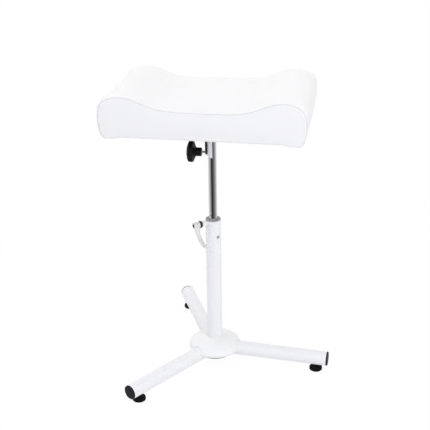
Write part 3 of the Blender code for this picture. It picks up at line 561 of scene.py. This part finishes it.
def build_hub():
    wall = shell_outline(smooth_line(HUB_OUTLINE, 4), HUB_WALL)
    # The hub cover takes the brighter copy of the white paint: painted light against the cushion's shade
    cover = placed("hub_cover_pressed", turned(wall, 144), Matrix.Identity(4), PAINT_LIT_COPY)
    tools = []
    half = LEG_RADIUS + FIT_GAP
    low = HUB_ARCH_LOW - LEG_AXIS_Z
    arch = [(half, low)]
    for step in range(41):
        angle = math.pi * step / 40
        arch.append((half * math.cos(angle), half * math.sin(angle)))
    arch.append((-half, low))
    facing = Matrix(((0, 0, 1, 0), (1, 0, 0, 0), (0, 1, 0, 0), (0, 0, 0, 1)))
    for number, name in enumerate(LEG_NAMES):
        lie = Matrix.Translation((0.0, 0.0, LEG_AXIS_Z)) @ spun(BASE_TURN_DEG + 120.0 * number) @ facing
        tools.append(placed("tool_arch_" + name, prism(arch, *HUB_ARCH_REACH), lie))
    cap = placed("hub_cap_dished", turned(HUB_CAP_OUTLINE, 96), Matrix.Identity(4), BLACK)
    for piece in (cap, cover):
        carved(piece, [copied(tool) for tool in tools])
    for tool in tools:
        bpy.data.objects.remove(tool, do_unlink=True)
    finished(cap, "base", "black_plastic", "hub_bottom_cap")
    cover.data.set_sharp_from_angle(angle=math.radians(40.0))
    edge = cover.modifiers.new("rolled_edge", "BEVEL")
    edge.width = HUB_LIP
    edge.segments = 3
    edge.limit_method = "ANGLE"
    edge.angle_limit = math.radians(50.0)
    finished(cover, "base", "white_paint", "hub_cover")


# Sole and collar of a levelling foot, from the ground up to the well for its stud
SOLE_OUTLINE = (
    (0.0, 0.0), (0.0110, 0.0), (0.0118, 0.0006), (0.0136, 0.0010), (0.0136, 0.0058), (0.0122, 0.0073),
    (0.0078, 0.0092), (0.0078, 0.0115), (0.0043, 0.0115), (0.0043, 0.0050), (0.0, 0.0050),
)
SOLE_ROUNDING = 0.0006


def build_feet():
    outline = rounded(SOLE_OUTLINE, SOLE_ROUNDING)
    for number, name in enumerate(LEG_NAMES):
        at = heading(BASE_TURN_DEG + 120.0 * number) * FOOT_REACH
        pad = placed("foot_sole_" + name, turned(outline, 72), Matrix.Translation(at), RUBBER)
        finished(pad, "foot_" + name, "black_plastic", "foot_pad_" + name)


# Tilt knob: eight soft lobes round a cone
KNOB_OUTLINE = (
    (0.0, 0.0323), (0.0028, 0.0323), (0.0028, 0.0211), (0.0080, 0.0211), (0.0087, 0.0218),
    (0.0088, 0.0318), (0.0098, 0.0330), (0.0150, 0.0354), (0.0207, 0.0376), (0.0220, 0.0390),
    (0.0224, 0.0420), (0.0220, 0.0452), (0.0204, 0.0470), (0.0160, 0.0489), (0.0128, 0.0497),
    (0.0122, 0.0494), (0.0116, 0.0499), (0.0060, 0.0507), (0.0, 0.0508),
)
KNOB_ROUNDING = 0.0012
KNOB_LOBES = 8
KNOB_LOBE_SHARE = 0.075
# Radii between which the lobes grow to their full depth
KNOB_LOBE_SPAN = (0.0120, 0.0195)


def build_knob():
    outline = rounded(KNOB_OUTLINE, KNOB_ROUNDING)
    body = turned(outline, 160, KNOB_LOBES, KNOB_LOBE_SHARE, *KNOB_LOBE_SPAN)
    knob = placed("knob_moulding", body, along((-1.0, 0.0, 0.0), (0.0, 0.0, TILT_Z)), BLACK)
    finished(knob, "knob_grip", "black_plastic", "knob")


# Clamp lever: one casting with its hub
LEVER_HUB_OUTLINE = ((0.0, 0.0325), (0.0066, 0.0325), (0.0066, 0.0462), (0.0, 0.0462))
LEVER_HUB_ROUNDING = 0.0010
# Room inside the hub for the toothed core and the screw
LEVER_CORE_OUTLINE = (
    (0.0, 0.0300), (0.0047, 0.0300), (0.0047, 0.0384), (0.0021, 0.0384),
    (0.0021, 0.0398), (0.0040, 0.0398), (0.0040, 0.0480), (0.0, 0.0480),
)
LEVER_CORE_ROUNDING = 0.0002
LEVER_SWING_DEG = 44.0
LEVER_VOXEL = 0.00042
# Power that makes the arm's round sections fuller; 1 is an ellipse
LEVER_FULLNESS = 0.72
# Sections of the arm: reach, bow, middle, width and thickness
LEVER_SECTIONS = (
    (0.0020, -0.0002, 0.0394, 0.0120, 0.0068),
    (0.0053, -0.0006, 0.0398, 0.0116, 0.0062),
    (0.0110, -0.0026, 0.0402, 0.0106, 0.0062),
    (0.0180, -0.0046, 0.0403, 0.0094, 0.0058),
    (0.0270, -0.0052, 0.0402, 0.0086, 0.0055),
    (0.0370, -0.0036, 0.0400, 0.0084, 0.0056),
    (0.0440, -0.0010, 0.0396, 0.0086, 0.0060),
    (0.0485, 0.0012, 0.0392, 0.0082, 0.0058),
    (0.0508, 0.0024, 0.0390, 0.0062, 0.0044),
    (0.0516, 0.0028, 0.0389, 0.0030, 0.0022),
)


def build_lever():
    point = Vector((0.0, 0.0, CLAMP_Z))
    out = heading(CLAMP_TURN_DEG)
    lie = along(out, point)
    outline = rounded(LEVER_HUB_OUTLINE, LEVER_HUB_ROUNDING)
    hub = placed("lever_casting", turned(outline, 64), lie, SILVER)
    side = Vector((0.0, 0.0, 1.0)).cross(out)
    facing = Matrix(((side.x, 0.0, out.x, 0.0), (side.y, 0.0, out.y, 0.0),
                     (side.z, 1.0, out.z, 0.0), (0.0, 0.0, 0.0, 1.0)))
    swing = Matrix.Rotation(math.radians(LEVER_SWING_DEG), 4, out)
    rings = []
    for reach, bow, middle, width, thick in smooth_line(LEVER_SECTIONS, 4):
        ring = []
        for step in range(28):
            angle = TURN * step / 28
            across = math.copysign(abs(math.cos(angle)) ** LEVER_FULLNESS, math.cos(angle))
            deep = math.copysign(abs(math.sin(angle)) ** LEVER_FULLNESS, math.sin(angle))
            ring.append((bow + deep * thick / 2, -reach, middle + across * width / 2))
        rings.append(ring)
    arm = placed("tool_arm", lofted(rings), Matrix.Translation(point) @ swing @ facing)
    carved(hub, [arm], "UNION")
    melt(hub, LEVER_VOXEL)
    soft = hub.modifiers.new("soft", "SMOOTH")
    soft.factor = 0.5
    soft.iterations = 5
    settle(hub)
    core = turned(rounded(LEVER_CORE_OUTLINE, LEVER_CORE_ROUNDING, 2), 48)
    carved(hub, [placed("tool_core", core, lie)])
    hub.data.materials.clear()
    hub.data.materials.append(SILVER)
    hub.data.shade_smooth()
    hub.data.set_sharp_from_angle(angle=math.radians(45.0))
    finished(hub, "lever", "silver_paint", "lever_arm")


# Cushion: half profile from the middle of the dip round to the underside
CUSHION_BOTTOM = 0.5445
CUSHION_PROFILE = (
    (0.0000, 0.0510), (0.0220, 0.0510), (0.0420, 0.0513), (0.0600, 0.0521), (0.0750, 0.0537),
    (0.0880, 0.0563), (0.1000, 0.0600), (0.1120, 0.0647), (0.1240, 0.0697), (0.1360, 0.0734),
    (0.1470, 0.0750), (0.1580, 0.0752), (0.1680, 0.0738), (0.1775, 0.0702), (0.1857, 0.0643),
    (0.1910, 0.0565), (0.1940, 0.0475), (0.1953, 0.0375), (0.1953, 0.0260), (0.1938, 0.0150),
    (0.1915, 0.0050), (0.1880, -0.0004), (0.1830, -0.0023), (0.1740, -0.0027), (0.1400, -0.0027),
    (0.1000, -0.0027), (0.0500, -0.0027),
)
RIM = min(height for reach, height in CUSHION_PROFILE)
CUSHION_STEPS = 240
# Rings from the front face to the middle: distance from the middle, and how far inside the profile
CUSHION_RINGS = (
    (0.1188, 0.0014), (0.1185, 0.0005), (0.1175, 0.0000), (0.1140, 0.0000), (0.1100, 0.0000),
    (0.1060, 0.0000), (0.1020, -0.0001), (0.0970, -0.0003), (0.0900, -0.0006), (0.0800, -0.0009),
    (0.0550, -0.0014), (0.0300, -0.0017), (0.0000, -0.0018),
)
# Where each seam runs from front to back, and how far inside the profile
SEAMS = {"front": (-0.1166, -0.0005), "back": (0.1187, 0.0022)}
SEAM_STEPS = 420
# How far the cover between the seams is drawn in before it swells
SHRINK = 0.0004
CUSHION_VOXEL = 0.0040
SWELL_FRAMES = 20
# Distances from a seam and from the rim at which the swelling cover comes free, and over which
SEAM_GRIP = (0.003, 0.008)
RIM_GRIP = (0.0006, 0.004)
SWELL_CAP = 0.0048
# Depths of the lower corners, the upper corners and the worn end
SAG = 0.0033
SHOULDER = 0.0044
SLACK = 0.0050
# Groove that the piping lies in
GROOVE_DEPTH = 0.0005
GROOVE_REACH = 0.0026
BEAD_RADIUS = 0.0011
BEAD_LIFT = 0.0003
# Pocket for the backing board: length, width and corner radius
POCKET = (0.3406, 0.1956, 0.0203)
POCKET_LOW = 0.5325
POCKET_TOP = 0.5582


def profile_loop(count):
    """Evenly spaced points and outward directions round the cushion's whole profile."""
    half = list(CUSHION_PROFILE)
    whole = half + [(0.0, RIM)] + [(-x, z) for x, z in half[:0:-1]]
    padded = whole[-3:] + whole + whole[:3]
    dense = np.array(smooth_line(padded, 12))[36:-24]
    dense[:, 1] = np.maximum(dense[:, 1], RIM)
    steps = np.r_[0.0, np.cumsum(np.linalg.norm(np.diff(dense, axis=0), axis=1))]
    wanted = np.linspace(0.0, steps[-1], count + 1)[:-1]
    loop = np.stack([np.interp(wanted, steps, dense[:, k]) for k in (0, 1)], axis=1)
    run = np.roll(loop, -1, axis=0) - np.roll(loop, 1, axis=0)
    run /= np.linalg.norm(run, axis=1)[:, None]
    out = np.stack([-run[:, 1], run[:, 0]], axis=1)
    return loop, out


def eased(value, low, high):
    """Smooth step from 0 at low to 1 at high."""
    share = np.clip((np.asarray(value, float) - low) / (high - low), 0.0, 1.0)
    return share * share * (3.0 - 2.0 * share)


def sag(x, y, z):
    """How far the lower corners of the cover hang below the cushion's profile."""
    x, y = np.abs(x), np.abs(y)
    across = eased(x, 0.150, 0.170) * (1.0 - eased(x, 0.1855, 0.1960))
    along_side = eased(y, 0.088, 0.114)
    return SAG * across * along_side * (1.0 - eased(z, RIM + 0.001, 0.018))


def shoulder(x, y, z):
    """How far the cover swells out behind the seam at the upper corners."""
    x, y = np.abs(x), np.abs(y)
    level = eased(z, 0.036, 0.054) * (1.0 - eased(z, 0.0715, 0.0750))
    outer = level * eased(x, 0.172, 0.183) * eased(y, 0.070, 0.104)
    return SHOULDER * outer * (1.0 - eased(y, 0.110, 0.1178))


def slack(x, y, z):
    """How far the worn back left end of the cover lies below the cushion's profile."""
    return SLACK * eased(-x, -0.020, 0.150) * eased(y, -0.020, 0.112) * eased(z, 0.024, 0.052)


def closed_cushion():
    """Skin of the whole cushion, ring by ring from front to back."""
    loop, out = profile_loop(CUSHION_STEPS)
    stations = [(-y, inset) for y, inset in CUSHION_RINGS]
    stations += [(y, inset) for y, inset in CUSHION_RINGS[-2::-1]]
    rings = []
    for y, inset in stations:
        flat = (loop[:, 1] < RIM + 0.0005) & (abs(y) < 0.110)
        panel = float(1.0 - eased(abs(y), 0.090, 0.110))
        above = np.clip((loop[:, 1] - RIM) / 0.01, 0.0, 1.0)
        amount = np.where(flat, 0.0, inset) + panel * SHRINK * above
        amount -= shoulder(loop[:, 0], y, loop[:, 1])
        points = loop - out * amount[:, None]
        points[:, 1] -= sag(points[:, 0], y, points[:, 1]) + slack(points[:, 0], y, points[:, 1])
        rings.append([(x, y, CUSHION_BOTTOM + z) for x, z in points])
    return lofted(rings)


def seam_points(y, inset):
    """Row-frame points of the seam round the front or back outline, open along the underside."""
    loop, out = profile_loop(SEAM_STEPS)
    order = np.roll(np.arange(SEAM_STEPS), SEAM_STEPS // 2)
    points = loop[order] - out[order] * inset
    keep = (points[:, 1] > RIM + 0.0008) | (np.abs(points[:, 0]) > 0.1780)
    points = points[keep]
    points[:, 1] -= sag(points[:, 0], y, points[:, 1]) + slack(points[:, 0], y, points[:, 1])
    return [Vector((x + AXIS.x, y + AXIS.y, CUSHION_BOTTOM + z)) for x, z in points]


def drawn_to(points, target, hold):
    """Points moved on to the target's surface by their hold."""
    moved = points.copy()
    for index in np.nonzero(hold > 0.0)[0]:
        near = target.find_nearest(Vector(points[index]))[0]
        moved[index] += (np.array(near) - points[index]) * hold[index]
    return moved


def read_points(piece, what="co"):
    """Places of a piece's vertices, or their normals."""
    values = np.zeros(len(piece.data.vertices) * 3)
    piece.data.vertices.foreach_get(what, values)
    return values.reshape(-1, 3)


def put_points(piece, points):
    piece.data.vertices.foreach_set("co", points.ravel())
    piece.data.update()


def surface_of(piece):
    corners = [vertex.co.copy() for vertex in piece.data.vertices]
    return BVHTree.FromPolygons(corners, [list(face.vertices) for face in piece.data.polygons])


def seam_distance(points, seams):
    """Distance from each point to the nearest seam."""
    nearest = np.full(len(points), 1.0)
    for seam in seams:
        line = np.array(seam)
        for start in range(0, len(points), 2000):
            part = points[start:start + 2000]
            gaps = np.linalg.norm(part[:, None, :] - line[None, :, :], axis=2).min(axis=1)
            nearest[start:start + 2000] = np.minimum(nearest[start:start + 2000], gaps)
    return nearest


def swell(piece, seams):
    """Blow the cover up a little between its seams."""
    before = read_points(piece)
    gaps = seam_distance(before, seams)
    low = before[:, 2] - CUSHION_BOTTOM - RIM
    hold = np.clip(1.0 - (gaps - SEAM_GRIP[0]) / SEAM_GRIP[1], 0.0, 1.0)
    hold = np.maximum(hold, np.clip(1.0 - (low - RIM_GRIP[0]) / RIM_GRIP[1], 0.0, 1.0))
    group = piece.vertex_groups.new(name="held")
    for index, weight in enumerate(hold):
        if weight > 0.0:
            group.add([index], float(weight), "REPLACE")
    cloth = piece.modifiers.new("swell", "CLOTH")
    cloth.settings.quality = 6
    cloth.settings.mass = 0.3
    cloth.settings.tension_stiffness = 30.0
    cloth.settings.compression_stiffness = 30.0
    cloth.settings.shear_stiffness = 15.0
    cloth.settings.bending_stiffness = 3.0
    cloth.settings.use_pressure = True
    cloth.settings.uniform_pressure_force = 6.0
    cloth.settings.effector_weights.gravity = 0.0
    cloth.settings.vertex_group_mass = "held"
    cloth.collision_settings.use_collision = False
    cloth.collision_settings.use_self_collision = False
    scene = bpy.context.scene
    cloth.point_cache.frame_start = 1
    cloth.point_cache.frame_end = SWELL_FRAMES
    for number in range(1, SWELL_FRAMES + 1):
        scene.frame_set(number)
    settle(piece)
    scene.frame_set(1)
    moved = read_points(piece) - before
    length = np.linalg.norm(moved, axis=1)
    moved *= (np.minimum(length, SWELL_CAP) / np.maximum(length, 1e-9))[:, None]
    put_points(piece, before + moved)


def tube(points, radius, sides=10):
    """Round bead along points, tapered at both ends."""
    rings = []
    count = len(points)
    for index, point in enumerate(points):
        run = (points[min(index + 1, count - 1)] - points[max(index - 1, 0)]).normalized()
        first = run.cross(Vector((0.0, 1.0, 0.0))).normalized()
        second = run.cross(first)
        taper = min(1.0, 0.35 + 0.65 * min(index, count - 1 - index) / 8.0)
        ring = []
        for step in range(sides):
            angle = TURN * step / sides
            ring.append(point + (first * math.cos(angle) + second * math.sin(angle)) * radius * taper)
        rings.append(ring)
    return lofted(rings)


def stuffed_cover(seam_lines):
    """Cover swollen between its seams, with the groove for the piping."""
    piece = placed("cushion_cover", closed_cushion(), Matrix.Identity(4), VINYL)
    crisp = surface_of(piece)
    melt(piece, CUSHION_VOXEL)
    settle(piece)
    points = read_points(piece)
    put_points(piece, drawn_to(points, crisp, np.ones(len(points))))
    swell(piece, seam_lines)
    soft = piece.modifiers.new("soft", "CORRECTIVE_SMOOTH")
    soft.iterations = 3
    soft.use_only_smooth = True
    finer = piece.modifiers.new("finer", "SUBSURF")
    finer.levels = 1
    finer.render_levels = 1
    settle(piece)
    points = read_points(piece)
    gaps = seam_distance(points, seam_lines)
    low = 1.0 - eased(points[:, 2] - CUSHION_BOTTOM - RIM, 0.002, 0.008)
    points = drawn_to(points, crisp, np.maximum(1.0 - eased(gaps, 0.004, 0.012), low))
    put_points(piece, points)
    gaps = seam_distance(points, seam_lines)
    sink = GROOVE_DEPTH * np.exp(-(gaps / GROOVE_REACH) ** 2)
    put_points(piece, points - read_points(piece, "normal") * sink[:, None])
    return piece


def pocket_outline():
    """Rectangle with round corners."""
    length, width, corner = POCKET
    outline = []
    for side_x, side_y, start_deg in ((1, 1, 0.0), (-1, 1, 90.0), (-1, -1, 180.0), (1, -1, 270.0)):
        for step in range(9):
            angle = math.radians(start_deg + 90.0 * step / 8)
            outline.append((side_x * (length / 2 - corner) + corner * math.cos(angle),
                            side_y * (width / 2 - corner) + corner * math.sin(angle)))
    return outline


def lain_on(surface, seam):
    """Seam laid on the cover and evened out."""
    lain = []
    for point in seam:
        near, normal = surface.find_nearest(point)[:2]
        lain.append(near + normal * BEAD_LIFT - AXIS)
    for turn in range(3):
        evened = [(a + b * 2 + c) / 4 for a, b, c in zip(lain, lain[1:], lain[2:])]
        lain = [lain[0]] + evened + [lain[-1]]
    return lain


def build_cushion():
    seams = [seam_points(*run) for run in SEAMS.values()]
    piece = stuffed_cover([[tuple(point) for point in seam] for seam in seams])
    surface = surface_of(piece)
    pocket = prism(pocket_outline(), POCKET_LOW, POCKET_TOP)
    carved(piece, [placed("tool_pocket", pocket, Matrix.Identity(4))])
    piece.data.shade_smooth()
    piece.data.set_sharp_from_angle(angle=math.radians(60.0))
    piece.data.materials.clear()
    piece.data.materials.append(VINYL)
    finished(piece, "head", "white_vinyl", "cushion")
    for seam, name in zip(seams, SEAMS):
        bead = tube(lain_on(surface, seam), BEAD_RADIUS)
        # The piping's darker grey-lilac tint is painted shade along the seam
        finished(placed("cushion_seam_" + name, bead, Matrix.Identity(4), PIPING_SEAM_SHADE), "head", "white_vinyl")
    build_tucks()


# Gathered vinyl under the lower corners: middle (x, z) of each section, half depth and half height
TUCK_SECTIONS = (
    (0.1610, 0.0008, 0.0020, 0.0006),
    (0.1640, 0.0003, 0.0052, 0.0016),
    (0.1690, -0.0001, 0.0068, 0.0022),
    (0.1735, 0.0006, 0.0062, 0.0018),
    (0.1780, 0.0007, 0.0070, 0.0023),
    (0.1825, 0.0030, 0.0060, 0.0021),
    (0.1860, 0.0058, 0.0044, 0.0016),
    (0.1882, 0.0082, 0.0018, 0.0006),
)
TUCK_Y = 0.1085


def build_tucks():
    """One gather under each lower corner."""
    for side_x, side_y, name in ((-1, -1, "front_left"), (1, -1, "front_right"),
                                 (-1, 1, "back_left"), (1, 1, "back_right")):
        rings = []
        for x, z, deep, high in smooth_line(TUCK_SECTIONS, 4):
            ring = []
            for step in range(20):
                angle = TURN * step / 20
                y = TUCK_Y + deep * math.cos(angle)
                hang = RIM + z - float(sag(x, y, RIM + z))
                ring.append((side_x * x, side_y * y, CUSHION_BOTTOM + hang + high * math.sin(angle)))
            rings.append(ring)
        tuck = placed("cushion_tuck_" + name, lofted(rings), Matrix.Identity(4), VINYL)
        finished(tuck, "head", "white_vinyl")


# Stage
def build_floor():
    """Pale floor that keeps the shadow and fades into the white ground."""
    solid = bmesh.new()
    bmesh.ops.create_circle(solid, cap_ends=True, radius=FLOOR_REACH, segments=96)
    floor = placed("stage_floor", solid, Matrix.Translation(-AXIS))
    material, tree, shader = new_material("stage_floor", Roughness=0.9, Specular_IOR_Level=0.0)
    place = object_place(tree)
    shader.inputs["Base Color"].default_value = FLOOR_COLOUR
    far = add(tree, "ShaderNodeVectorMath", {0: place}, operation="LENGTH").outputs["Value"]
    reach = {0: far, 1: FLOOR_FADE[0], 2: FLOOR_FADE[1], 3: FLOOR_NEAR_SHARE, 4: 1.0}
    fade = add(tree, "ShaderNodeMapRange", reach, interpolation_type="SMOOTHSTEP").outputs[0]
    seen = add(tree, "ShaderNodeLightPath").outputs["Is Camera Ray"]
    share = add(tree, "ShaderNodeMath", {0: fade, 1: seen}, operation="MULTIPLY").outputs[0]
    share = add(tree, "ShaderNodeMath", {0: share, 1: FLOOR_GLOW_SHARE}, operation="MAXIMUM").outputs[0]
    glow = add(tree, "ShaderNodeEmission", {0: (1.0, 1.0, 1.0, 1.0), 1: 1.0}).outputs[0]
    mix = add(tree, "ShaderNodeMixShader", {0: share, 1: shader.outputs[0], 2: glow}).outputs[0]
    tree.links.new(mix, tree.nodes["Material Output"].inputs[0])
    floor.data.materials.append(material)
    floor.visible_glossy = False


def build_world():
    """Soft sky for the object, bands for mirrors and plain white for the camera."""
    world = bpy.data.worlds.new("studio")
    bpy.context.scene.world = world
    world.use_nodes = True
    tree = world.node_tree
    tree.nodes.clear()
    path = add(tree, "ShaderNodeLightPath")
    sky = add(tree, "ShaderNodeBackground", {0: (*SKY_COLOUR, 1.0), 1: SKY_STRENGTH}).outputs[0]
    white = add(tree, "ShaderNodeBackground", {0: (1.0, 1.0, 1.0, 1.0), 1: 1.0}).outputs[0]
    way = add(tree, "ShaderNodeTexCoord").outputs["Generated"]
    turned_way = add(tree, "ShaderNodeMapping",
                     {0: way, 2: (0.0, 0.0, -math.radians(MIRROR_FRONT_DEG))}).outputs[0]
    parts = add(tree, "ShaderNodeSeparateXYZ", {0: turned_way})
    angle = add(tree, "ShaderNodeMath", {0: parts.outputs[1], 1: parts.outputs[0]},
                operation="ARCTAN2").outputs[0]
    share = add(tree, "ShaderNodeMapRange", {0: angle, 1: -math.pi, 2: math.pi}).outputs[0]
    ramp = add(tree, "ShaderNodeValToRGB", {0: share})
    marks = ramp.color_ramp.elements
    while len(marks) > 1:
        marks.remove(marks[-1])
    marks[0].position = 0.0
    marks[0].color = (1.0, 1.0, 1.0, 1.0)
    for degrees, value in MIRROR_BANDS:
        marks.new((degrees + 180.0) / 360.0).color = (value, value, value, 1.0)
    upward = add(tree, "ShaderNodeMapRange", {0: parts.outputs[2], 1: -0.05, 2: 0.20}).outputs[0]
    seen = add(tree, "ShaderNodeMix", {0: upward, 6: ramp.outputs[0], 7: (*UPPER_MIRROR, 1.0)},
               data_type="RGBA").outputs[2]
    mirror = add(tree, "ShaderNodeBackground", {0: seen, 1: 1.0}).outputs[0]
    first = add(tree, "ShaderNodeMixShader",
                {0: path.outputs["Is Glossy Ray"], 1: sky, 2: mirror}).outputs[0]
    plain = add(tree, "ShaderNodeMath",
                {0: path.outputs["Is Camera Ray"], 1: path.outputs["Is Transmission Ray"]},
                operation="MAXIMUM").outputs[0]
    last = add(tree, "ShaderNodeMixShader", {0: plain, 1: first, 2: white}).outputs[0]
    add(tree, "ShaderNodeOutputWorld", {0: last})


def build_lamps():
    """Round soft lamps aimed at the middle of the object."""
    whole = [(*lamp, LAMP_COLOUR) for lamp in LAMPS] + [(*FRONT_LAMP, FRONT_LAMP_COLOUR)]
    for number, (place, size, power, colour) in enumerate(whole, 1):
        data = bpy.data.lights.new("lamp_" + str(number), "AREA")
        data.shape = "DISK"
        data.size = size
        data.energy = power
        data.color = colour
        lamp = bpy.data.objects.new("lamp_" + str(number), data)
        lamp.location = place
        lamp.rotation_mode = "QUATERNION"
        lamp.rotation_quaternion = (LAMP_TARGET - Vector(place)).to_track_quat("-Z", "Y")
        lamp.visible_camera = False
        lamp.visible_glossy = False
        bpy.context.scene.collection.objects.link(lamp)


def build_camera():
    pitch = math.radians(CAMERA_PITCH_DEG)
    roll = math.radians(CAMERA_ROLL_DEG)
    ahead = Vector((0.0, math.cos(pitch), -math.sin(pitch)))
    right = Vector((1.0, 0.0, 0.0))
    up = right.cross(ahead)
    rolled_right = right * math.cos(roll) + up * math.sin(roll)
    rolled_up = up * math.cos(roll) - right * math.sin(roll)
    basis = Matrix((rolled_right, rolled_up, -ahead)).transposed().to_4x4()
    data = bpy.data.cameras.new("camera")
    data.lens = CAMERA_LENS
    data.sensor_width = CAMERA_SENSOR
    data.clip_start = 0.05
    data.clip_end = 40.0
    camera = bpy.data.objects.new("camera", data)
    camera.matrix_world = Matrix.Translation(CAMERA_AT) @ spun(CAMERA_TURN_DEG) @ basis
    bpy.context.scene.collection.objects.link(camera)
    bpy.context.scene.camera = camera


dress_nodes()
build_hub()
build_feet()
build_knob()
build_lever()
build_cushion()
build_floor()
build_world()
build_lamps()
build_camera()
bpy.context.scene.view_settings.view_transform = "Standard"
